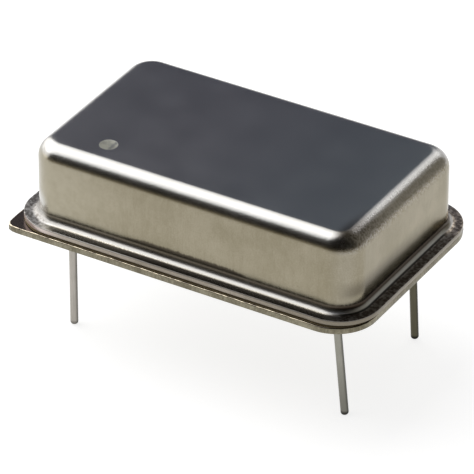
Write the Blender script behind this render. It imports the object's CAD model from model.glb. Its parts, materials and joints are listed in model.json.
import json
import math

import bmesh
import bpy
import numpy as np
from mathutils import Matrix, Vector


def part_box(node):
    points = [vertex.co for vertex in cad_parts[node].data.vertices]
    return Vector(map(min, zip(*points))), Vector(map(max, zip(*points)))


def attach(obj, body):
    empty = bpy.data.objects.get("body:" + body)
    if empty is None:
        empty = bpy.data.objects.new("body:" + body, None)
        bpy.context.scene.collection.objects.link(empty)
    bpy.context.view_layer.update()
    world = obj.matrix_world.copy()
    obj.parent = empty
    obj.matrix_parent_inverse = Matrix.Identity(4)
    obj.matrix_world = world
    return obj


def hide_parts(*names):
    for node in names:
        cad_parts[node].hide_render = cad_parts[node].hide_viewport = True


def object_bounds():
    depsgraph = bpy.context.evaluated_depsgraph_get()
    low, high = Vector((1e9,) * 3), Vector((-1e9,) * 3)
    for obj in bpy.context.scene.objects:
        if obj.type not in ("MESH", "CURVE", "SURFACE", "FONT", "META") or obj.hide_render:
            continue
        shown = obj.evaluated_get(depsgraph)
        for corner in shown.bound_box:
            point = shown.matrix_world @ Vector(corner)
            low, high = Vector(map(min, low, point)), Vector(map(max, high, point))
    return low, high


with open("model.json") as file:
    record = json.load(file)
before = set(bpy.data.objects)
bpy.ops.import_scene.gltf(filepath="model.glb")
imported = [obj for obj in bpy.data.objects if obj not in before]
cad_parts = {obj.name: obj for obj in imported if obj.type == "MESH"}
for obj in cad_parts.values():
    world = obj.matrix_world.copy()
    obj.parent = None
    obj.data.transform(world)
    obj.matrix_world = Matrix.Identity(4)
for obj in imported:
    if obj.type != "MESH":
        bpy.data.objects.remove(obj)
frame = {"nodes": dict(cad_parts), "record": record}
cad_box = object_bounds()

# Sizes in millimetres, as in the part's source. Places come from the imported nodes' boxes.
MM = 0.001
SCREEN_PITCH = 0.08
SHEET = 0.27
CAN_CORNER_R = 1.45
CAN_TOP_R = 0.95
FLANGE_W = 0.775
FLANGE_BEND_R = 0.4
RIM_T = 0.32
RIM_R = 2.2
RIDGE_H = 0.11
RIDGE_W = 0.25
RIDGE_INSET = 0.12
PLATFORM_T = 1.2
PLATFORM_GAP = 0.15
PLATFORM_BEVEL = 0.12
SEAL_R = 0.85
SEAL_HOLLOW = 0.1
BRAZE_CUP_R = 0.55
BRAZE_CUP_H = 0.14
BRAZE_GAP = 0.04
BRAZE_EDGE = 0.01
BRAZE_HOLLOW = 0.075
DOT_R = 0.475
DOT_DEPTH = 0.06
DOT_INSET = (3.53, 1.99)
DOT_SOFT = 0.04
DOT_LIP = 0.003
DOT_LIP_AT = 1.04
DOT_LIP_W = 0.035
LEAD_R = 0.2
LEAD_OUT_R = 0.205
LEAD_ROOT = 0.5
LEAD_BEND_R = 1.2
LEAD_TIP_R = 0.16
LEAD_TIP_FROM = 0.2
LEAD_STEP = 0.004
LEAD_LEN = 6.28
LEAD_LEANS = {1: (-0.05, 0.09), 7: (0.54, 0.07), 8: (0.21, 0.16), 14: (0.0, 0.0)}

# Roundings and wobbles that stamping and shearing leave on the sheet's edges.
FLANGE_ROLL_R = 0.03
FLANGE_BURR_R = 0.03
FLANGE_WOBBLE = 0.006
RIM_ROLL_R = 0.05
RIM_BURR_R = 0.03
RIM_NICK = 0.012
RIM_SAG = 0.01
RIM_STEP = 0.006
LEDGE_INSETS = (-0.005, 0.015)
LEDGE_CLEAR = 0.01
SEAM_OUT = 0.02
SEAM_MIDDLE = 0.012
SQUARE_POWER = 10

# Each wobble's number of turns and seed, and a wobble's peak over its root mean square.
WAVES = {"flange": (60, 3), "nick": (140, 5), "sag": (90, 6), "seam_out": (120, 8),
         "seam_middle": (160, 9)}
WAVE_PEAK = 2.2

# How finely the surfaces are divided. TYPICAL_HALF is a half size that fits the whole object.
CORNER_STEPS = 18
RIM_ROLL_STEPS = 6
HEADER_LINES = (61, 37)
GRID_STEP = 0.22
GRID_GAP = 0.02
DOT_REACH = 0.62
DOT_LINES = 37
TYPICAL_HALF = 5
LEAD_SIDES = 40
BORE_SIDES = 64
SEAL_SIDES = 72
MERGE_M = 1e-7
SHARP_DEG = 38

# Colours of the metals, linear.
NICKEL_LIGHT = (0.390, 0.385, 0.372)
NICKEL_DARK = (0.345, 0.340, 0.325)
NICKEL_COOL = (0.305, 0.360, 0.345)
WALL_FRESH = (0.372, 0.342, 0.262)
WALL_LIGHT = (0.320, 0.288, 0.213)
WALL_DARK = (0.247, 0.219, 0.151)
CORNER_BRIGHT = (0.56, 0.55, 0.52)
FOOT = (0.328, 0.318, 0.303)
FOOT_POLISHED = (0.84, 0.82, 0.80)
FOOT_RUBBED = (0.56, 0.59, 0.66)
CREASE = (0.048, 0.036, 0.027)
GRIME = (0.010, 0.009, 0.007)
TARNISH_LIGHT = (0.50, 0.43, 0.35)
TARNISH_DARK = (0.13, 0.105, 0.08)
DOT_LIGHT = (0.30, 0.30, 0.25)
DOT_DARK = (0.12, 0.122, 0.12)
EDGE_LIGHT = (0.350, 0.310, 0.262)
EDGE_DARK = (0.200, 0.176, 0.138)
EDGE_RUBBED = (0.80, 0.70, 0.67)
PEEL_LIGHT = (0.62, 0.61, 0.62)
RIM_LIGHT = (0.285, 0.262, 0.195)
RIM_DARK = (0.14, 0.124, 0.086)
LEDGE = (0.09, 0.072, 0.062)
SEAM_BROWN = (0.30, 0.235, 0.13)
BURR_BRIGHT = (0.66, 0.58, 0.44)
SILVER_LIGHT = (0.62, 0.60, 0.55)
SILVER_DARK = (0.42, 0.40, 0.36)
LEAD_LIGHT = (0.55, 0.51, 0.465)
LEAD_DARK = (0.44, 0.41, 0.365)
BARE_END = (0.014, 0.013, 0.010)


def box_mm(node):
    """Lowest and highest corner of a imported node, in millimetres."""
    low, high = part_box(node)
    return np.array(low) / MM, np.array(high) / MM


cover_low, cover_high = box_mm("cover")
cover_mid = (cover_low + cover_high) / 2
header_high = box_mm("header")[1]
CAN_TOP = cover_high[2]
FLANGE_UNDER = cover_low[2]
FLANGE_TOP = FLANGE_UNDER + SHEET
CAN_HALF = (cover_high[:2] - cover_low[:2]) / 2 - FLANGE_W
CORNER_MIDDLE = CAN_HALF - CAN_CORNER_R

mount = next(m["dims"] for m in frame["record"]["mounts"] if m["name"] == "lead_pattern")
PITCH_X, PITCH_Y = mount["spacing_x_mm"], mount["spacing_y_mm"]
LEAD_AT = {1: (-PITCH_X / 2, -PITCH_Y / 2), 7: (PITCH_X / 2, -PITCH_Y / 2),
           8: (PITCH_X / 2, PITCH_Y / 2), 14: (-PITCH_X / 2, PITCH_Y / 2)}
GROUND_LEAD = 7

# Each lead's tone, how far it dulls towards its tip, how bare its cut end is, then the tones of
# dull and thin plating and the direction in which it is thin.
LEAD_TONES = {1: (0.78, 0.79, 0.79), 7: (0.6, 0.63, 0.61), 8: (0.22, 0.22, 0.165),
              14: (0.8, 0.8, 0.78)}
LEAD_DULLING = {1: 0.1, 7: 0.75, 8: 0.35, 14: 0.3}
LEAD_TIPS = {1: 0.5, 7: 0.85, 8: 0.98, 14: 0.8}
DULL_TONE = (0.55, 0.55, 0.55)
THIN_TONE = (0.2, 0.2, 0.2)
LEAD_THIN_SIDE = (0.86, 0.5, 0.0)


# ---------------------------------------------------------------- surfaces


def arc(middle, r, start, end, steps):
    """Points (across, up) on a circle: middle + r (cos a, sin a), with a going from start to
    end degrees."""
    a = np.radians(np.linspace(start, end, steps + 1))
    return np.stack([middle[0] + r * np.cos(a), middle[1] + r * np.sin(a)], 1)


def line(start, end, steps):
    """Evenly spaced points from start to end."""
    t = np.linspace(0, 1, steps + 1)[:, None]
    return np.array(start) * (1 - t) + np.array(end) * t


def chain(*parts):
    """Joins runs of points into one, and drops a point that repeats the one before it."""
    points = np.concatenate(parts)
    keep = np.r_[True, np.linalg.norm(np.diff(points, axis=0), axis=1) > 1e-6]
    return points[keep]


def wave(t, count, seed):
    """A smooth wobble that closes on itself: the sum of cosines of 1 to count turns over t = 0
    to 1, with seeded phases and weights, scaled so that it stays within about -1 to 1."""
    rng = np.random.default_rng(seed)
    turns = np.arange(1, count + 1)
    phases, weights = rng.uniform(0, 2 * np.pi, count), rng.uniform(0.3, 1, count)
    total = (weights * np.cos(2 * np.pi * np.outer(t, turns) + phases)).sum(1)
    return total / (WAVE_PEAK * np.sqrt((weights**2).sum() / 2))


class Outline:
    """A rectangle with round corners, walked once round from the start of the +X +Y corner.
    Each station has a share (-1 to 1) of the half length and half width between corner
    middles, and a direction outwards, so that a ring is share * (half_x, half_y) + r *
    direction at height z. A corner named in square keeps a sharp outline: its directions are
    divided by the p-norm (|cos|^p + |sin|^p)^(1/p) of a high power p. t goes from 0 to 1 round
    the outline, by its length."""

    def __init__(self, along_x, along_y, square=None):
        corners = [(1, 1), (-1, 1), (-1, -1), (1, -1)]
        share, direction = [], []
        for i, (sx, sy) in enumerate(corners):
            a = np.radians(90 * i + np.linspace(0, 90, CORNER_STEPS + 1))
            d = np.stack([np.cos(a), np.sin(a)], 1)
            if i == square:
                d /= ((np.abs(d) ** SQUARE_POWER).sum(1) ** (1 / SQUARE_POWER))[:, None]
            share.append(np.tile([sx, sy], (len(a), 1)))
            direction.append(d)
            nx, ny = corners[(i + 1) % 4]
            inner = (along_x if sy == ny else along_y)[1:-1]
            if sx > nx or sy > ny:
                inner = inner[::-1]
            fixed = np.full(len(inner), sy if sy == ny else sx)
            share.append(np.stack([inner, fixed] if sy == ny else [fixed, inner], 1))
            out = (0, sy) if sy == ny else (sx, 0)
            direction.append(np.tile(out, (len(inner), 1)))
        self.share = np.concatenate(share).astype(float)
        self.direction = np.concatenate(direction).astype(float)
        step = np.linalg.norm(np.diff(self.share * TYPICAL_HALF + self.direction, axis=0), axis=1)
        self.t = np.r_[0, np.cumsum(step)] / (step.sum() + step[-1])

    def ring(self, half, r, z):
        """The outline grown by r round corner middles at half, at height z."""
        flat = self.share * np.array(half) + np.asarray(r).reshape(-1, 1) * self.direction
        return np.column_stack([flat, np.broadcast_to(z, len(flat))])


def skin(rings):
    """Quads between neighbouring rings: point i of ring k joins i + 1 and ring k + 1."""
    k, n = len(rings), len(rings[0])
    here = np.arange(k * n).reshape(k, n)
    after = np.roll(here, -1, 1)
    quads = np.stack([here[:-1], here[1:], after[1:], after[:-1]], -1).reshape(-1, 4)
    return np.concatenate(rings), quads


def grid_quads(shape):
    """Quads between neighbouring points of a grid: (i, j), (i + 1, j), (i + 1, j + 1),
    (i, j + 1)."""
    index = np.arange(shape[0] * shape[1]).reshape(shape)
    quads = [index[:-1, :-1], index[1:, :-1], index[1:, 1:], index[:-1, 1:]]
    return np.stack(quads, -1).reshape(-1, 4)


def sheet_grid(xs, ys, height, up):
    """A level grid over the lines xs and ys, at z = height(x, y), facing up or down."""
    x, y = np.meshgrid(xs, ys, indexing="ij")
    quads = grid_quads(x.shape)
    points = np.column_stack([x.ravel(), y.ravel(), height(x, y).ravel()])
    return points, quads if up else quads[:, ::-1]


def lathe(profile, middle, sides=BORE_SIDES):
    """A profile of (radius, z) turned about an upright axis through middle."""
    a = np.linspace(0, 2 * np.pi, sides, endpoint=False)
    round_ = np.stack([np.cos(a), np.sin(a)], 1)
    return skin([np.column_stack([r * round_ + middle[:2], np.full(sides, z)])
                 for r, z in profile])


def make_mesh(name, parts, fills=(), **marks):
    """One mesh from parts of (points in mm, quads). Points that meet are merged, loops at the
    heights listed in fills are filled flat between them, and faces that lost their area are
    dropped. Each mark has a value from 0 to 1 for every point of the first part, and is kept
    as an attribute for the finish."""
    points = np.concatenate([p for p, _ in parts]) * MM
    starts = np.cumsum([0] + [len(p) for p, _ in parts[:-1]])
    quads = np.concatenate([q + s for (_, q), s in zip(parts, starts)]).astype(np.int32)
    mesh = bpy.data.meshes.new(name)
    mesh.vertices.add(len(points))
    mesh.vertices.foreach_set("co", points.astype(np.float32).ravel())
    mesh.loops.add(quads.size)
    mesh.loops.foreach_set("vertex_index", quads.ravel())
    mesh.polygons.add(len(quads))
    mesh.polygons.foreach_set("loop_start", np.arange(0, quads.size, 4, dtype=np.int32))
    mesh.update(calc_edges=True)
    for mark, values in marks.items():
        whole = np.zeros(len(points), np.float32)
        whole[:len(values)] = values
        mesh.attributes.new(mark, "FLOAT", "POINT").data.foreach_set("value", whole)
    work = bmesh.new()
    work.from_mesh(mesh)
    bmesh.ops.remove_doubles(work, verts=work.verts, dist=MERGE_M)
    for z in fills:
        rims = [e for e in work.edges
                if e.is_boundary and all(abs(v.co.z - z * MM) < MERGE_M for v in e.verts)]
        bmesh.ops.triangle_fill(work, use_beauty=True, edges=rims, normal=(0, 0, 1))
    bmesh.ops.dissolve_degenerate(work, dist=MERGE_M / 10, edges=work.edges)
    bmesh.ops.recalc_face_normals(work, faces=work.faces)
    work.to_mesh(mesh)
    work.free()
    mesh.shade_smooth()
    mesh.set_sharp_from_angle(angle=math.radians(SHARP_DEG))
    return mesh


def add_piece(name, mesh, finish, slot, *nodes):
    """Puts a piece's mesh into the scene, riding on the root body in place of its nodes."""
    piece = bpy.data.objects.new(name, mesh)
    bpy.context.scene.collection.objects.link(piece)
    mesh.materials.append(finish.material)
    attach(piece, "root")
    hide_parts(*nodes)


# ---------------------------------------------------------------- finishes


class Socket:
    """An output of a finish's node. Sums, differences, products and quotients of sockets and
    numbers add Math nodes."""

    def __init__(self, finish, out):
        self.finish, self.out = finish, out

    def math(self, operation, first, second):
        return self.finish.node("Math", {"operation": operation}, {0: first, 1: second})

    def __add__(self, other):
        return self.math("ADD", self, other)

    def __sub__(self, other):
        return self.math("SUBTRACT", self, other)

    def __rsub__(self, other):
        return self.math("SUBTRACT", other, self)

    def __mul__(self, other):
        return self.math("MULTIPLY", self, other)

    def __truediv__(self, other):
        return self.math("DIVIDE", self, other)

    def __rtruediv__(self, other):
        return self.math("DIVIDE", other, self)

    __radd__ = __add__
    __rmul__ = __mul__


class Finish:
    """A procedural material on Object coordinates, or the nodes of another tree. fixed sets
    the shader's own sockets."""

    def __init__(self, name, tree=None, **fixed):
        if tree is None:
            self.material = bpy.data.materials.new(name)
            self.material.use_nodes = True
            tree = self.material.node_tree
        self.tree = tree
        tree.nodes.clear()
        self.shader = None
        if fixed:
            self.shader = tree.nodes.new("ShaderNodeBsdfPrincipled")
            output = tree.nodes.new("ShaderNodeOutputMaterial")
            tree.links.new(self.shader.outputs[0], output.inputs[0])
            for socket, value in fixed.items():
                self.shader.inputs[socket.replace("_", " ")].default_value = value

    def node(self, kind, settings=(), inputs=(), output=0):
        """Adds a node: its settings first, then the values or links of its sockets."""
        made = self.tree.nodes.new("ShaderNode" + kind)
        for key, value in dict(settings).items():
            setattr(made, key, value)
        for key, value in dict(inputs).items():
            if isinstance(value, Socket):
                self.tree.links.new(value.out, made.inputs[key])
            else:
                made.inputs[key].default_value = value
        return Socket(self, made.outputs[output])

    def drive(self, **values):
        """Links what changes over the surface to the shader."""
        for socket, value in values.items():
            self.tree.links.new(value.out, self.shader.inputs[socket.replace("_", " ")])

    def place(self, stretch=(1, 1, 1)):
        """The point on the piece in metres, each axis times its stretch."""
        here = self.node("TexCoord", output=3)
        if stretch == (1, 1, 1):
            return here
        return self.node("VectorMath", {"operation": "MULTIPLY"}, {0: here, 1: stretch})

    def axis(self, which, unit=MM):
        """One coordinate of the point on the piece, in millimetres or another unit."""
        return self.node("SeparateXYZ", {}, {0: self.place()}, output=which) / unit

    def mark(self, name):
        """A mark of the piece's mesh, from 0 to 1."""
        return self.node("Attribute", {"attribute_name": name}, output=2)

    def noise(self, size_mm, stretch=(1, 1, 1), detail=2.0, roughness=0.5):
        """Soft noise from 0 to 1 whose blobs are about size_mm across."""
        sockets = {"Vector": self.place(stretch), "Scale": 1 / (size_mm * MM),
                   "Detail": detail, "Roughness": roughness}
        return self.node("TexNoise", {}, sockets)

    def step(self, value, low, high):
        """0 below low, 1 above high, smooth between them."""
        sockets = {"Value": value, "From Min": low, "From Max": high}
        return self.node("MapRange", {"interpolation_type": "SMOOTHSTEP"}, sockets)

    def fade(self, value, low, high):
        """1 below low, 0 above high, smooth between them."""
        return 1 - self.step(value, low, high)

    def band(self, value, low, full, still, high):
        """0 outside low to high, 1 from full to still, smooth between them."""
        return self.step(value, low, full) * self.fade(value, still, high)

    def mix(self, share, first, second):
        """A colour that goes from first to second as share goes from 0 to 1."""
        sockets = {0: share, 6: (*first, 1) if isinstance(first, tuple) else first,
                   7: (*second, 1) if isinstance(second, tuple) else second}
        return self.node("Mix", {"data_type": "RGBA"}, sockets, output=2)

    def bump(self, height, depth_mm, under=None):
        """A normal from a height of 0 to 1 that stands for depth_mm."""
        sockets = {"Height": height, "Distance": depth_mm * MM, "Strength": 1.0}
        if under is not None:
            sockets["Normal"] = under
        return self.node("Bump", {}, sockets)


def dress(finish, *nodes):
    """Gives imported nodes, whose shapes are right as they are, their own finish."""
    for node in nodes:
        for place in frame["nodes"][node].material_slots:
            place.material = finish.material


def speckle(name, light, dark, size_mm, rough, spread, depth_mm, **fixed):
    """A finish with soft grain: colour between light and dark, roughness within spread of
    rough, and a bump depth_mm deep, over blobs of size_mm and others four times as large."""
    finish = Finish(name, **fixed)
    fine = finish.noise(size_mm)
    coarse = finish.noise(size_mm * 4)
    share = fine * 0.5 + coarse * 0.5
    finish.drive(
        Base_Color=finish.mix(finish.step(share, 0.32, 0.68), dark, light),
        Roughness=(coarse - 0.5) * 2 * spread + (fine - 0.5) * spread + rough,
        Normal=finish.bump(share, depth_mm),
    )
    return finish


class CanNickel(Finish):
    """Satin nickel over drawn steel.

    Its noises, from broad to fine, are blotch, mottle, speck, peel and grain, and drawn, which
    follows the draw lines up the wall. share is the nickel's own unevenness. worked is the
    mesh's mark for bent metal, which shows orange peel.

    Its regions are 1 inside and 0 outside. x and y are places in millimetres, up is the height
    above the flange's top face and down the depth below the can's top. left, right and front
    are those ends of the can, side is all but its back, nook is the front left corner, corner
    is all four upright corners, foot is the flange with its bend, wall lies between the bends,
    and upper is the top bend with the top."""

    def __init__(self):
        super().__init__("satin_nickel_can", Metallic=1.0)
        self.worked = self.mark("worked")
        self.blotch = self.noise(2.4, detail=3)
        self.mottle = self.noise(0.4, detail=3, roughness=0.6)
        self.speck = self.noise(0.16, detail=3)
        self.peel = self.noise(0.12)
        self.grain = self.noise(0.07)
        self.drawn = self.noise(0.12, (1, 1, 0.12), detail=3, roughness=0.6)
        self.share = self.blotch * 0.5 + self.mottle * 0.15 + self.grain * 0.35

        self.x, self.y, z = (self.axis(i) for i in range(3))
        self.up, self.down = z - FLANGE_TOP, CAN_TOP - z
        self.left = self.fade(self.x, -8.8, -6.5)
        self.right = self.step(self.x, 8.0, 9.0)
        self.front = self.fade(self.y, -5.3, -4.8)
        self.side = self.fade(self.y, 3.4, 4.2)
        self.nook = self.fade(self.x, -8.5, -7.9) * self.fade(self.y, -4.4, -3.4)
        self.corner = self.step(self.x * self.x, 62, 78) * self.step(self.y * self.y, 18, 26)
        self.foot = self.fade(self.up, 0.3, 0.42)
        self.wall = self.step(self.up, 0.1, 0.4) * self.step(self.down, 0.32, 0.62)
        self.upper = self.fade(self.down, 0.9, 1.2)

        coat = self.mix(self.wall, self.plain_nickel(), self.wall_olive())
        coat = self.mix(self.fade(self.up, -0.05, -0.01), coat, self.sheared_edge())
        coat = self.right_foot(self.mix(self.grime(), coat, CREASE))
        pitted = self.worked * (self.right * self.upper * 0.6 + 0.4)
        bright = pitted * self.right * self.upper * self.step(self.peel, 0.35, 0.65) * 0.4
        dot, patina = self.pressed_dot()
        uneven = (self.blotch - 0.5) * 0.05 + (self.grain - 0.5) * 0.08
        scuffed = self.left * self.fade(self.up, 0.05, 0.2)
        scuffed = scuffed * (self.step(self.speck, 0.3, 0.7) + 0.4)
        dull = scuffed * 0.12 + self.foot * 0.05 + self.worked * 0.035
        dull = dull + pitted * self.right * 0.06 + self.shelf() * self.side * 0.2 + dot * 0.3
        relief = self.bump(self.peel * pitted, 0.011)
        relief = self.bump(self.drawn * self.wall, 0.0012, relief)
        self.drive(
            Base_Color=self.mix(dot, self.mix(bright, coat, PEEL_LIGHT), patina),
            Metallic=1 - dot * 0.85,
            Roughness=uneven + dull + 0.21,
            Normal=self.bump(self.grain, 0.0007, relief),
        )

    def plain_nickel(self):
        """Nickel on the top, the bends and the flange. The flat top is cooler to the right.
        The foot is smudged on its left corner, and along the front it is dim on the flat and
        polished where the bend begins."""
        plain = self.mix(self.step(self.share, 0.35, 0.65), NICKEL_DARK, NICKEL_LIGHT)
        cool = self.fade(self.worked, 0, 0.3) * self.step(self.x, -4, 9) * 0.6
        plain = self.mix(cool, plain, NICKEL_COOL)
        plain = self.mix(self.foot * (self.speck * 0.3 + 0.7), plain, FOOT)
        less = self.step(self.up, 0.03, 0.15) * 0.5
        smudged = self.fade(self.speck, 0.36, 0.6) * (0.62 - less) + 0.1
        plain = self.mix(self.left * self.foot * smudged, plain, CREASE)
        polished = self.band(self.up, 0.001, 0.006, 0.014, 0.044) * self.front
        polished = polished * (0.95 - self.step(self.x, -7, 3) * 0.3)
        polished = polished * (1 - self.left) * (1 - self.right)
        plain = self.mix(polished, plain, FOOT_POLISHED)
        dim = self.fade(self.up, 0.001, 0.004) * self.front * (1 - self.right)
        return self.mix(dim * self.step(self.x, -4.5, -0.5) * 0.55, plain, CREASE)

    def wall_olive(self):
        """The drawn wall: olive with faint draw lines, fresher to the left, brighter at the
        upright corners and worn bright at the foot of the front left one."""
        lined = self.step(self.share * 0.84 + self.drawn * 0.16, 0.36, 0.64)
        olive = self.mix(lined, WALL_DARK, WALL_LIGHT)
        fresh = self.fade(self.x, -8.5, -2.0) * (self.mottle * 0.9 + 0.3)
        olive = self.mix(fresh, olive, WALL_FRESH)
        worn = self.fade(self.up, 0.8, 1.7) * self.nook * 0.85
        return self.mix(self.corner * (self.left * 0.15 + 0.1) + worn, olive, CORNER_BRIGHT)

    def sheared_edge(self):
        """The flange's edge: duller to the right, rubbed bright on the left corner, with a dark
        line under its upper rounding."""
        uneven = self.step(self.share * 1.2 - self.x * 0.02, 0.35, 0.85)
        edge = self.mix(uneven, EDGE_DARK, EDGE_LIGHT)
        edge = self.mix(self.left * 0.8, edge, EDGE_RUBBED)
        line_dark = self.step(self.up, -0.08, -0.04) * (0.55 - self.left * 0.55)
        return self.mix(line_dark, edge, CREASE)

    def grime(self):
        """Share of dirt on the can. A crease runs round above the flange, ragged along the
        draw lines and higher in the middle of the front. On the right-hand end dirt has
        settled low on the wall and dulls the top bend near its front corner. The wall is a
        little darker towards its top."""
        reach = self.fade(self.x * self.x, 5, 15) * self.front * 0.2
        ragged = self.up - reach + (self.drawn - 0.5) * 0.25
        crease = self.step(self.up + self.right * 0.085, 0.18, 0.28)
        crease = crease * self.fade(ragged, 0.36, 0.5)
        strength = self.step(self.x, -4, 4) * 0.1 + self.right * self.side * 0.13 + 0.72
        crease = crease * (strength - self.nook * 0.66)
        settled = self.band(self.up, 0.6, 1.0, 1.1, 1.9) * self.step(self.x, 8.3, 9.3)
        settled = settled * (0.5 - self.step(self.y, -2.0, 3.5) * 0.42)
        dusk = self.fade(self.down, 0.12, 0.42) * 0.42 + self.fade(self.down, 0.5, 0.9) * 0.36
        dusk = (dusk + 0.03) * self.step(self.x - self.y * 0.8, 9.6, 12.2)
        dusk = dusk * self.step(self.x, 7.8, 8.45)
        brow = self.fade(self.down, 1.2, 2.4) * self.wall * 0.05
        return crease + settled + dusk + brow

    def shelf(self):
        """The flat of the flange at the right-hand end, and the start of its bend."""
        start = self.fade(self.up - self.side * 0.022, 0.01, 0.05)
        return self.step(self.up, -0.03, -0.01) * start * self.right

    def right_foot(self, coat):
        """The flange at the right-hand end: flecked matt grime on the flat, darkest where the
        bend begins, a rubbed line along the bend, and tarnish on the back corner."""
        rubbed = self.band(self.up, 0.03, 0.09, 0.1, 0.21) * self.right * self.side
        coat = self.mix(rubbed * (self.mottle * 0.3 + 0.75), coat, FOOT_RUBBED)
        curl = self.step(self.up, 0.003, 0.02)
        flecked = self.step(self.speck, 0.4, 0.62)
        tarnish = self.mix(flecked, TARNISH_DARK, TARNISH_LIGHT)
        tarnish = self.mix(self.side, tarnish, self.mix(curl, CREASE, GRIME))
        bare = self.side * (1 - curl) * flecked * 0.4
        return self.mix(self.shelf() * (0.99 - bare), coat, tarnish)

    def pressed_dot(self):
        """The dot, 1 inside it, and its patina, with a bite of dark stain across it."""
        dot_x, dot_y = cover_mid[:2] - CAN_HALF + DOT_INSET
        middle = (dot_x * MM, dot_y * MM, CAN_TOP * MM)
        off = self.node("VectorMath", {"operation": "SUBTRACT"}, {0: self.place(), 1: middle})
        away = self.node("VectorMath", {"operation": "LENGTH"}, {0: off}, output=1)
        aside = self.x - dot_x
        bitten = self.step(aside + (self.mottle - 0.5) * 0.3, 0.08, 0.2)
        bitten = bitten * self.fade(aside, 0.26, 0.38)
        stained = self.step(self.mottle, 0.4, 0.6) * 0.4 + bitten * 0.6
        dot = self.fade(away / (DOT_R * MM), 0.94, 1.04)
        return dot, self.mix(stained, DOT_LIGHT, DOT_DARK)


def header_nickel():
    """Nickel over a stamped blank: soft on its faces, and on the sheared rim rougher, darker
    and striped with upright tears, with a bright broken burr along the top edge that fades to
    the right. The ledge is dark and the weld's seam under the flange is brown."""
    finish = Finish("satin_nickel_header", Metallic=1.0)
    seam = finish.mark("seam")
    blotch = finish.noise(1.3, detail=3)
    grain = finish.noise(0.07)
    tears = finish.noise(0.1, (1, 1, 0.25), detail=3)
    height = finish.axis(2)
    sheared = finish.fade(height, RIM_T - 0.08, RIM_T - 0.04)
    burr = finish.step(finish.mark("lip"), 0.2, 0.5)
    burr = burr * (1 - finish.step(finish.axis(0), 6.6, 8.0) * 0.8)
    broken = finish.step(finish.noise(0.33, (1, 1, 0.2), detail=4, roughness=0.7), 0.38, 0.62)
    share = blotch * 0.4 + tears * sheared * 0.4 + grain * 0.2 + (1 - sheared) * 0.2
    plain = finish.mix(finish.step(share, 0.36, 0.64), RIM_DARK, RIM_LIGHT)
    ledge = finish.mix(finish.step(height, RIM_T - 0.01, RIM_T - 0.002), plain, LEDGE)
    edged = finish.mix(burr * (broken * 0.8 + 0.2), ledge, BURR_BRIGHT)
    dull = (blotch - 0.5) * 0.06 + sheared * 0.14 + seam * 0.3
    finish.drive(
        Base_Color=finish.mix(seam, edged, SEAM_BROWN),
        Metallic=1 - seam,
        Roughness=dull - burr * broken * 0.1 + 0.27,
        Normal=finish.bump(grain, 0.0008, finish.bump(tears * sheared, 0.006)),
    )
    return finish


def printed_silver():
    """Silver and palladium ink, printed and fired: dull grains, and the lattice left by the
    screen's mesh, sin(x) sin(y) with a period of SCREEN_PITCH."""
    finish = Finish("printed_silver", Metallic=1.0)
    turns = 2 * math.pi / SCREEN_PITCH
    waves = [finish.node("Math", {"operation": "SINE"}, {0: finish.axis(i) * turns})
             for i in (0, 1)]
    lattice = waves[0] * waves[1] * 0.5 + 0.5
    grain = finish.noise(0.03)
    cloud = finish.noise(0.6, detail=3)
    share = finish.step(grain * 0.5 + cloud * 0.5, 0.35, 0.65)
    finish.drive(
        Base_Color=finish.mix(share, SILVER_DARK, SILVER_LIGHT),
        Roughness=(grain - 0.5) * 0.2 + (cloud - 0.5) * 0.1 + 0.48,
        Normal=finish.bump(lattice, 0.0015, finish.bump(grain, 0.002)),
    )
    return finish


def chip_silicon():
    """Polished silicon whose face is laid out in blocks of cells, each block with its own tint
    and each cell a little lighter or darker. Blocks and cells are the square cells of two
    Voronoi patterns."""
    finish = Finish("chip_silicon", Metallic=0.6, IOR=3.4)
    tints = []
    for size_mm in (0.22, 0.035):
        cells = {"Vector": finish.place(), "Scale": 1 / (size_mm * MM)}
        colour = finish.node("TexVoronoi", {"distance": "CHEBYCHEV"}, cells, output=1)
        tints.append(finish.node("SeparateColor", {}, {0: colour}))
    block, cell = tints
    blocks = finish.mix(block, (0.10, 0.11, 0.16), (0.24, 0.20, 0.17))
    finish.drive(
        Base_Color=finish.mix(cell * 0.35, blocks, (0.42, 0.40, 0.38)),
        Roughness=cell * 0.12 + 0.14,
    )
    return finish


def toned(colour, tone):
    """A colour times a tone."""
    return tuple(c * t for c, t in zip(colour, tone))


def lead_plating(number):
    """Matt plating over a drawn wire: lines along the wire, and blotches where the bath took
    unevenly. It is thinner and darker on one side, and dulls towards the cut tip, whose end is
    bare and dark."""
    finish = Finish(f"matt_plating_{number}", Metallic=1.0)
    drawn = finish.noise(0.05, (1, 1, 0.04))
    blotch = finish.noise(0.5, (1, 1, 0.5), detail=3)
    depth = 0 - finish.axis(2)
    dull = finish.step(depth, LEAD_LEN * 0.35, LEAD_LEN) * LEAD_DULLING[number]
    tip = finish.step(depth + (blotch - 0.5) * 0.2, LEAD_LEN - 0.32, LEAD_LEN - 0.14)
    tip = tip * LEAD_TIPS[number]
    light, dark = (toned(c, LEAD_TONES[number]) for c in (LEAD_LIGHT, LEAD_DARK))
    plated = finish.mix(finish.step(drawn * 0.5 + blotch * 0.5, 0.3, 0.7), dark, light)
    dulled = finish.mix(dull, plated, toned(dark, DULL_TONE))
    thin = finish.step(finish.mark("thin"), 0.3, 0.95) * 0.85
    shaded = finish.mix(thin, dulled, toned(dark, THIN_TONE))
    finish.drive(
        Base_Color=finish.mix(tip, shaded, BARE_END),
        Roughness=(drawn - 0.5) * 0.1 + (blotch - 0.5) * 0.1 + tip * 0.12 + 0.34,
        Normal=finish.bump(drawn, 0.0012, finish.bump(blotch, 0.002)),
    )
    return finish


# ---------------------------------------------------------------- pieces


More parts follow.
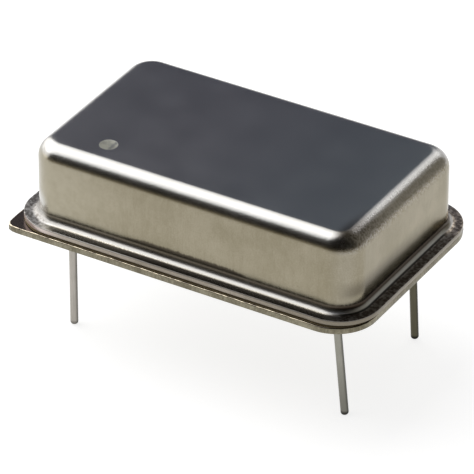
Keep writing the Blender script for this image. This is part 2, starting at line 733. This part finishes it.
def dot_height(x, y):
    """Height of the can's top: level, less a pressed dot. With q the distance from the dot's
    middle over its radius, the depth is DOT_DEPTH (1 - q^2), softened where it meets the top,
    and a low lip runs round it: a bell curve of q about the dot's edge."""
    dx = x - (-CAN_HALF[0] + DOT_INSET[0])
    dy = y - (-CAN_HALF[1] + DOT_INSET[1])
    q = np.hypot(dx, dy) / DOT_R
    fall = 1 - q**2
    bowl = DOT_DEPTH * (fall + np.sqrt(fall**2 + DOT_SOFT**2)) / 2
    lip = DOT_LIP * np.exp(-(((q - DOT_LIP_AT) / DOT_LIP_W) ** 2))
    return CAN_TOP - bowl + lip


def fine_lines(half, centre):
    """Grid lines from -half to half, close together within DOT_REACH of centre. The last line
    before the close ones is at least GRID_GAP short of them."""
    low, high = max(centre - DOT_REACH, -half), min(centre + DOT_REACH, half)
    left = np.arange(-half, low - GRID_GAP, GRID_STEP)
    close = np.linspace(low, high, DOT_LINES)
    right = np.linspace(high, half, max(2, round((half - high) / GRID_STEP)))[1:]
    return np.concatenate([left, close, right])


def make_cover():
    """The drawn can: one closed section (top, bend, wall, bend, flange, edge, and back inside)
    carried round the outline, with level grids for the top's two faces."""
    flange_end = CAN_CORNER_R + FLANGE_W
    foot = FLANGE_TOP + FLANGE_BEND_R
    head = CAN_TOP - CAN_TOP_R
    flat = CAN_CORNER_R - CAN_TOP_R
    bend_x = CAN_CORNER_R + FLANGE_BEND_R
    inner = CAN_CORNER_R - SHEET
    roll_x, burr_x = flange_end - FLANGE_ROLL_R, flange_end - FLANGE_BURR_R
    section = chain(
        line((0, CAN_TOP), (flat, CAN_TOP), 3),
        arc((flat, head), CAN_TOP_R, 90, 0, 22),
        line((CAN_CORNER_R, head), (CAN_CORNER_R, foot), 12),
        arc((bend_x, foot), FLANGE_BEND_R, 180, 270, 14),
        line((bend_x, FLANGE_TOP), (roll_x, FLANGE_TOP), 4),
        arc((roll_x, FLANGE_TOP - FLANGE_ROLL_R), FLANGE_ROLL_R, 90, 0, 6),
        arc((burr_x, FLANGE_UNDER + FLANGE_BURR_R), FLANGE_BURR_R, 0, -90, 3),
        line((burr_x, FLANGE_UNDER), (bend_x, FLANGE_UNDER), 3),
        arc((bend_x, foot), FLANGE_BEND_R + SHEET, 270, 180, 10),
        line((inner, foot), (inner, head), 6),
        arc((flat, head), CAN_TOP_R - SHEET, 0, 90, 12),
        line((flat, CAN_TOP - SHEET), (0, CAN_TOP - SHEET), 2),
    )
    xs, ys = (fine_lines(CORNER_MIDDLE[i], -CAN_HALF[i] + DOT_INSET[i]) for i in (0, 1))
    outline = Outline(xs / CORNER_MIDDLE[0], ys / CORNER_MIDDLE[1])
    wobble = wave(outline.t, *WAVES["flange"])
    rings = []
    for across, z in section:
        edge = np.clip((across - bend_x) / (flange_end - bend_x), 0, 1)
        rings.append(outline.ring(CORNER_MIDDLE, across + FLANGE_WOBBLE * edge * wobble, z))
    parts = [skin(rings), sheet_grid(xs, ys, dot_height, True),
             sheet_grid(xs, ys, lambda x, y: np.full(x.shape, CAN_TOP - SHEET), False)]
    shift = np.array([*cover_mid[:2], 0])
    parts = [(p + shift, q) for p, q in parts]
    # metal is worked most where the section stands at 45 degrees: |sin 2a| of its slope a
    run, rise = np.gradient(section, axis=0).T
    bent = np.abs(np.sin(2 * np.arctan2(rise, run)))
    return make_mesh("cover_fine", parts, worked=np.repeat(bent, len(outline.t)))


def make_header():
    """The stamped base: rings from the underside's edge over the rim, the ridge and the raised
    middle, with flat fills below and on top, and a wall in each bore. The rim is nicked and
    sags a little, and the weld's seam under the flange is uneven."""
    along_x, along_y = (np.linspace(-1, 1, count) for count in HEADER_LINES)
    outline = Outline(along_x, along_y, square=2)
    plain = Outline(along_x, along_y)
    rim_half = header_high[:2] - RIM_R
    flange_end = CAN_CORNER_R + FLANGE_W
    ridge_out = flange_end - RIDGE_INSET
    platform_r = CAN_CORNER_R - SHEET - PLATFORM_GAP
    nick = wave(outline.t, *WAVES["nick"])
    sag = wave(outline.t, *WAVES["sag"])
    rings = []
    for across, z in arc((RIM_R - RIM_BURR_R, RIM_BURR_R), RIM_BURR_R, -90, 0, 3):
        rings.append(outline.ring(rim_half, across, z))
    under_rings = len(rings)
    roll_x, roll_z = RIM_R - RIM_ROLL_R, RIM_T - RIM_ROLL_R
    for across, z in arc((roll_x, roll_z), RIM_ROLL_R, 0, 90, RIM_ROLL_STEPS):
        lift = (z - roll_z) / RIM_ROLL_R
        raised = z + lift * (RIM_NICK + RIM_SAG * sag)
        rings.append(outline.ring(rim_half, across + RIM_NICK * lift * nick, raised))
    rings.append(outline.ring(rim_half, roll_x - RIM_STEP, RIM_T))
    # where the flange's edge stands over the rim, kept inside the rim where it overhangs
    ledge_end = header_high[0] - RIM_ROLL_R - LEDGE_CLEAR
    for inset in LEDGE_INSETS:
        ledge = plain.ring(CORNER_MIDDLE, flange_end - inset, RIM_T)
        ledge[:, 0] = np.minimum(ledge[:, 0] + cover_mid[0], ledge_end)
        rings.append(ledge)
    open_rings = len(rings) - 1
    ridge_top = RIM_T + RIDGE_H
    profile = [
        (ridge_out + SEAM_OUT * wave(plain.t, *WAVES["seam_out"]), RIM_T),
        (ridge_out + SEAM_MIDDLE * wave(plain.t, *WAVES["seam_middle"]), RIM_T + RIDGE_H / 2),
        (ridge_out, ridge_top),
        (ridge_out - RIDGE_W, ridge_top),
        (ridge_out - RIDGE_W, RIM_T),
        (platform_r, RIM_T),
        (platform_r, PLATFORM_T - PLATFORM_BEVEL),
        (platform_r - PLATFORM_BEVEL, PLATFORM_T),
    ]
    rings += [plain.ring(CORNER_MIDDLE, across, z) for across, z in profile]
    # the seam runs from just inside the flange's edge up the ridge's side, and the lip is the
    # rim's roll
    covered = np.zeros(len(rings))
    covered[open_rings:open_rings + 4] = 1
    lip = np.zeros(len(rings))
    turned = np.radians(np.linspace(0, 90, RIM_ROLL_STEPS + 1))
    lip[under_rings:under_rings + len(turned)] = np.sin(turned)
    parts = [skin(rings)]
    for number, place in LEAD_AT.items():
        if number == GROUND_LEAD:
            bore = LEAD_R + BRAZE_GAP
            walls = [(BRAZE_CUP_R, 0), (BRAZE_CUP_R, BRAZE_CUP_H), (bore, BRAZE_CUP_H),
                     (bore, PLATFORM_T)]
        else:
            walls = [(SEAL_R, 0), (SEAL_R, PLATFORM_T)]
        parts.append(lathe(walls, place))
    stations = len(plain.t)
    return make_mesh("header_fine", parts, fills=(0, PLATFORM_T),
                     seam=np.repeat(covered, stations), lip=np.repeat(lip, stations))


def make_lead(number):
    """A round wire on a path that runs straight down to LEAD_ROOT, turns by the lean's angle
    on LEAD_BEND_R and goes straight on. Its radius is LEAD_R inside the header and LEAD_OUT_R
    outside, and shrinks over the tip as a circle of LEAD_TIP_R does. It is marked thin by how
    far its side faces LEAD_THIN_SIDE."""
    lean = np.array(LEAD_LEANS[number])
    top = box_mm(f"lead_{number}")[1][2]
    drop = LEAD_LEN - LEAD_ROOT
    tilt = math.atan(np.linalg.norm(lean) / drop)
    toward = lean / max(np.linalg.norm(lean), 1e-9)
    shank = (drop - LEAD_BEND_R * math.sin(tilt)) / math.cos(tilt)
    tip_start = shank - LEAD_TIP_R
    straight = line((0, top), (0, 0), 6)
    root = line((0, -LEAD_STEP), (0, -LEAD_ROOT), 3)
    a = np.linspace(0, tilt, 7)
    bend = np.stack([LEAD_BEND_R * (1 - np.cos(a)), -LEAD_ROOT - LEAD_BEND_R * np.sin(a)], 1)
    rounding = LEAD_TIP_R * np.sin(np.linspace(LEAD_TIP_FROM, np.pi / 2, 7))
    s = np.r_[np.linspace(0, tip_start, 26), tip_start + rounding]
    run = bend[-1] + s[:, None] * np.array([math.sin(tilt), -math.cos(tilt)])
    path = chain(straight, root, bend, run)
    bend_end = LEAD_ROOT + LEAD_BEND_R * math.sin(tilt) + 1e-6
    angle = np.interp(-path[:, 1], [LEAD_ROOT, bend_end], [0, tilt])
    radius = np.where(path[:, 1] > -LEAD_STEP / 2, LEAD_R, LEAD_OUT_R)
    past = np.clip(s - tip_start, 0, LEAD_TIP_R)
    radius[-len(s):] = LEAD_OUT_R - LEAD_TIP_R + np.sqrt(LEAD_TIP_R**2 - past**2)
    turn = np.linspace(0, 2 * np.pi, LEAD_SIDES, endpoint=False)
    side = np.array([-toward[1], toward[0], 0]) if tilt else np.array([0, 1.0, 0])
    forward = np.array([*toward, 0]) if tilt else np.array([1.0, 0, 0])
    rings, thin = [], []
    for (out, z), lean_by, r in zip(path, angle, radius):
        first = forward * math.cos(lean_by) + np.array([0, 0, math.sin(lean_by)])
        centre = forward * out + np.array([*LEAD_AT[number], z])
        outward = np.outer(np.cos(turn), first) + np.outer(np.sin(turn), side)
        rings.append(centre + r * outward)
        thin.append(outward @ LEAD_THIN_SIDE)
    start, end = (np.repeat(ring.mean(0)[None], LEAD_SIDES, 0) for ring in (rings[0], rings[-1]))
    thin = np.concatenate([thin[0], *thin, thin[-1]])
    return make_mesh(f"lead_{number}_fine", [skin([start, *rings, end])], thin=thin)


def make_seal(number):
    """Glass in a bore, drawn into a hollow at both faces: z = hollow (1 - q^2), where q goes
    from -1 at the lead to 1 at the bore."""
    q = np.linspace(-1, 1, 21)
    r = LEAD_R + (q + 1) / 2 * (SEAL_R - LEAD_R)
    hollow = SEAL_HOLLOW * (1 - q**2)
    below = np.stack([r, hollow], 1)
    above = np.stack([r, PLATFORM_T - hollow], 1)[::-1]
    glass = lathe(chain(below, above, below[:1]), LEAD_AT[number], SEAL_SIDES)
    return make_mesh(f"seal_{number}_fine", [glass])


def make_braze():
    """Braze in the ground lead's cup: full at the cup's wall, climbing in a hollow fillet to
    the lead. The fillet's height is BRAZE_EDGE + BRAZE_HOLLOW sin(pi q)^0.8, with q from 0 at
    the lead to 1 at the cup's wall."""
    q = np.linspace(0, 1, 15)
    r = LEAD_OUT_R + q * (BRAZE_CUP_R - LEAD_OUT_R)
    z = BRAZE_EDGE + BRAZE_HOLLOW * np.sin(np.pi * q) ** 0.8
    z[0] = z[-1] = 0.0
    bore = LEAD_R + BRAZE_GAP
    walls = [(BRAZE_CUP_R, BRAZE_CUP_H), (bore, BRAZE_CUP_H), (bore, PLATFORM_T),
             (LEAD_R, PLATFORM_T), (LEAD_R, 0), (LEAD_OUT_R, 0)]
    braze = lathe(chain(np.stack([r, z], 1), walls), LEAD_AT[GROUND_LEAD], SEAL_SIDES)
    return make_mesh("lead_7_braze_fine", [braze])


seal_glass = speckle("seal_glass", (0.022, 0.034, 0.038), (0.012, 0.018, 0.022), size_mm=0.2,
                     rough=0.08, spread=0.02, depth_mm=0.002, IOR=1.52)
silver_braze = speckle("silver_braze", (0.62, 0.52, 0.36), (0.44, 0.34, 0.2), size_mm=0.08,
                       rough=0.3, spread=0.1, depth_mm=0.004, Metallic=1.0)

add_piece("cover_fine", make_cover(), CanNickel(), "nickel_cover", "cover")
add_piece("header_fine", make_header(), header_nickel(), "nickel_header", "header")
for number in LEAD_AT:
    add_piece(f"lead_{number}_fine", make_lead(number), lead_plating(number), "plated_lead",
              f"lead_{number}")
    if number != GROUND_LEAD:
        add_piece(f"seal_{number}_fine", make_seal(number), seal_glass, "seal_glass",
                  f"seal_{number}")
add_piece("lead_7_braze_fine", make_braze(), silver_braze, "braze", "lead_7_braze")

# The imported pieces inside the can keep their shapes. Each row has the finish's name, its light
# and dark colour, the grain's size, roughness and its spread, the bump's depth, what is fixed
# on the shader, and the nodes.
INSIDE = [
    ("fired_alumina", (0.84, 0.83, 0.79), (0.74, 0.72, 0.67), 0.06, 0.55, 0.1, 0.002,
     {"IOR": 1.76}, ["substrate"]),
    ("bond_epoxy", (0.16, 0.085, 0.04), (0.09, 0.045, 0.02), 0.3, 0.32, 0.1, 0.004,
     {"IOR": 1.55}, ["substrate_bond"]),
    ("resistor_ink", (0.045, 0.05, 0.048), (0.02, 0.022, 0.02), 0.07, 0.36, 0.12, 0.003,
     {"IOR": 1.6}, ["feedback_resistor"]),
    ("tin_solder", (0.70, 0.69, 0.66), (0.50, 0.49, 0.47), 0.12, 0.27, 0.12, 0.005,
     {"Metallic": 1.0},
     [*(f"solder_{n}" for n in LEAD_AT), "capacitor_solder_a", "capacitor_solder_b"]),
    ("clip_nickel", (0.52, 0.49, 0.42), (0.42, 0.39, 0.33), 0.06, 0.26, 0.08, 0.0015,
     {"Metallic": 1.0}, ["clip_a", "clip_b"]),
    ("lapped_quartz", (0.95, 0.96, 0.96), (0.88, 0.90, 0.90), 0.04, 0.16, 0.06, 0.0006,
     {"Transmission_Weight": 0.92, "IOR": 1.544}, ["quartz_blank"]),
    ("silver_film", (0.90, 0.885, 0.85), (0.82, 0.80, 0.75), 0.25, 0.16, 0.05, 0.0004,
     {"Metallic": 1.0}, ["electrode_top", "electrode_bottom"]),
    ("silver_epoxy", (0.55, 0.54, 0.51), (0.33, 0.32, 0.30), 0.05, 0.5, 0.12, 0.005,
     {"Metallic": 0.6}, ["cement_a", "cement_b", "chip_bond"]),
    ("bond_gold", (1.0, 0.77, 0.34), (0.86, 0.60, 0.22), 0.03, 0.2, 0.06, 0.0005,
     {"Metallic": 1.0}, ["bond_wires"]),
    ("capacitor_ceramic", (0.44, 0.33, 0.22), (0.33, 0.23, 0.14), 0.05, 0.5, 0.1, 0.002,
     {"IOR": 1.7}, ["bypass_capacitor"]),
    ("barrel_tin", (0.74, 0.73, 0.70), (0.58, 0.57, 0.55), 0.07, 0.36, 0.1, 0.004,
     {"Metallic": 1.0}, ["capacitor_end_a", "capacitor_end_b"]),
]
for *surface, fixed, nodes in INSIDE:
    dress(speckle(*surface, **fixed), *nodes)
dress(printed_silver(), *(f"track_{n}" for n in LEAD_AT), "track_crystal_a", "track_crystal_b")
dress(chip_silicon(), "oscillator_chip")

# ---------------------------------------------------------------- stage

CAMERA_AZIMUTH = 30.621
CAMERA_ELEVATION = 32.277
CAMERA_ROLL = 0.1765
CAMERA_DISTANCE = 0.245333
CAMERA_LENS = 372.715
CAMERA_SENSOR = 36
CAMERA_CLIP = (0.01, 20)
CAMERA_PAN = 0.0582
CAMERA_TILT = -0.1224
CARD_R = 0.9
CARD_LINES = (73, 25)
FLOOR_HALF = 4.0
FLOOR_GREY = (0.45, 0.45, 0.45, 1)
FLOOR_GLOW = 0.79
AROUND_GREY = (0.25, 0.25, 0.25)
WHITE = (1.0, 1.0, 1.0)


def aim_camera():
    """A long lens: it looks at the origin from azimuth and elevation, then rolls, pans and
    tilts a little."""
    a, e = math.radians(CAMERA_AZIMUTH), math.radians(CAMERA_ELEVATION)
    back = Vector((math.sin(a) * math.cos(e), -math.cos(a) * math.cos(e), math.sin(e)))
    right = Vector((math.cos(a), math.sin(a), 0))
    up = back.cross(right)
    turn = Matrix((right, up, back)).transposed()
    turn = turn @ Matrix.Rotation(math.radians(CAMERA_ROLL), 3, "Z")
    turn = turn @ Matrix.Rotation(math.radians(CAMERA_TILT), 3, "X")
    turn = turn @ Matrix.Rotation(math.radians(CAMERA_PAN), 3, "Y")
    data = bpy.data.cameras.new("camera")
    data.lens, data.sensor_width = CAMERA_LENS, CAMERA_SENSOR
    data.clip_start, data.clip_end = CAMERA_CLIP
    camera = bpy.data.objects.new("camera", data)
    camera.matrix_world = turn.to_4x4()
    camera.location = back * CAMERA_DISTANCE
    bpy.context.scene.collection.objects.link(camera)
    bpy.context.scene.camera = camera


def add_softbox(name, shape, azimuth, elevation, distance, width, height, radiance):
    """A flat lamp that faces the origin, from an azimuth counted from +Y towards +X and an
    elevation, with its width and height given as shares of its distance. A lamp of power pi *
    area * radiance shines evenly with that radiance."""
    data = bpy.data.lights.new(name, "AREA")
    data.shape = shape
    data.size, data.size_y = width * distance, height * distance
    area = data.size * data.size_y * (math.pi / 4 if shape == "ELLIPSE" else 1)
    data.energy = math.pi * area * radiance
    a, e = math.radians(azimuth), math.radians(elevation)
    away = Vector((math.sin(a) * math.cos(e), math.cos(a) * math.cos(e), math.sin(e)))
    turn = away.to_track_quat("Z", "Y").to_matrix().to_4x4()
    lamp = bpy.data.objects.new(name, data)
    lamp.matrix_world = Matrix.Translation(away * distance) @ turn
    bpy.context.scene.collection.objects.link(lamp)
    lamp.visible_camera = False


def add_surface(name, points, faces, finish):
    """Puts a surface of the studio into the scene."""
    mesh = bpy.data.meshes.new(name)
    mesh.from_pydata(points, [], faces)
    mesh.materials.append(finish.material)
    surface = bpy.data.objects.new(name, mesh)
    bpy.context.scene.collection.objects.link(surface)
    return surface


def add_card(name, azimuths, elevations, finish):
    """A curved card: the patch CARD_R (sin a cos e, cos a cos e, sin e) of a sphere over a
    range of azimuth a and elevation e. Only reflections see it."""
    lines = [np.radians(np.linspace(*ends, count))
             for ends, count in zip((azimuths, elevations), CARD_LINES)]
    a, e = np.meshgrid(*lines, indexing="ij")
    points = np.stack([np.sin(a) * np.cos(e), np.cos(a) * np.cos(e), np.sin(e)], -1)
    faces = grid_quads(a.shape).tolist()
    card = add_surface(name, CARD_R * points.reshape(-1, 3), faces, finish)
    card.visible_camera = card.visible_diffuse = card.visible_shadow = False


def close_tree(finish, surface, kind="OutputMaterial"):
    """Links a shader to the tree's output, and keeps its glow from being sampled as a lamp."""
    end = finish.tree.nodes.new("ShaderNode" + kind)
    finish.tree.links.new(surface.out, end.inputs[0])
    if kind == "OutputMaterial":
        finish.material.cycles.emission_sampling = "NONE"


def glowing(name, tint):
    """A card that glows in the colour that tint works out for it."""
    finish = Finish(name)
    colour = tint(finish)
    close_tree(finish, finish.node("Emission", {}, {0: colour, 1: 1.0}))
    return finish


def low_glow(card):
    """Pale, and brighter towards the back. ahead is y over the card's radius."""
    ahead = card.axis(1, CARD_R)
    return card.mix(card.step(ahead, 0.02, 0.3), (1.9, 1.87, 1.84), (2.7, 2.66, 2.62))


def blue_glow(card):
    """Dim blue, the same all over."""
    return (0.12, 0.126, 0.168, 1)


def dark_glow(card):
    """Nearly black in front, brown towards the back, and lighter down by the floor. ahead and
    upward are y and z over the card's radius."""
    ahead, upward = card.axis(1, CARD_R), card.axis(2, CARD_R)
    around = card.mix(card.step(ahead, -0.25, 0.6), (0.016, 0.013, 0.009), (0.245, 0.22, 0.165))
    return card.mix(card.fade(upward, -0.05, 0.27), around, (0.48, 0.43, 0.34))


def seen_directly(finish):
    """1 for rays from the camera, off metal and through glass, and 0 for the light that falls
    on things."""
    ray = finish.tree.nodes.new("ShaderNodeLightPath")
    camera, glossy, through = (Socket(finish, ray.outputs[f"Is {kind} Ray"])
                               for kind in ("Camera", "Glossy", "Transmission"))
    total = camera + glossy + through
    return finish.node("Math", {"operation": "MINIMUM"}, {0: total, 1: 1.0})


aim_camera()

# A large soft lamp high on the left, and a smaller one behind that picks out the right-hand
# bends. Cards for the metal to mirror: a pale one low on the left, a bluish one behind that the
# flat top shows, and dark ones overhead and round the right and the front.
add_softbox("left_softbox", "ELLIPSE", azimuth=-88, elevation=54, distance=0.15,
            width=1.30, height=1.32, radiance=2.15)
add_softbox("back_strip", "RECTANGLE", azimuth=0, elevation=36, distance=0.13,
            width=0.5, height=0.46, radiance=1.0)
low_card = glowing("low_card", low_glow)
blue_card = glowing("blue_card", blue_glow)
dark_card = glowing("dark_card", dark_glow)
add_card("card_left", (-125, -52), (-1, 32), low_card)
add_card("card_back", (-50, -12), (-1, 47), blue_card)
add_card("card_over", (-50, 13), (47, 90), dark_card)
add_card("card_side", (13, 235), (-1, 90), dark_card)

# The floor's glow is seen by the camera and in the metal, and lights nothing.
pale = Finish("pale_floor")
matte = pale.node("BsdfDiffuse", {}, {0: FLOOR_GREY})
glow = pale.node("Emission", {}, {0: (*WHITE, 1), 1: seen_directly(pale) * FLOOR_GLOW})
close_tree(pale, pale.node("AddShader", {}, {0: matte, 1: glow}))
floor_z = cad_box[0].z
floor_corners = [(x * FLOOR_HALF, y * FLOOR_HALF, floor_z)
                 for x, y in ((-1, -1), (1, -1), (1, 1), (-1, 1))]
floor = add_surface("floor", floor_corners, [(0, 1, 2, 3)], pale)

world = bpy.data.worlds.new("studio")
bpy.context.scene.world = world
world.use_nodes = True
studio = Finish("studio", tree=world.node_tree)
around = studio.mix(seen_directly(studio), AROUND_GREY, WHITE)
close_tree(studio, studio.node("Background", {}, {0: around, 1: 1.0}), "OutputWorld")

bpy.context.scene.view_settings.view_transform = "Standard"
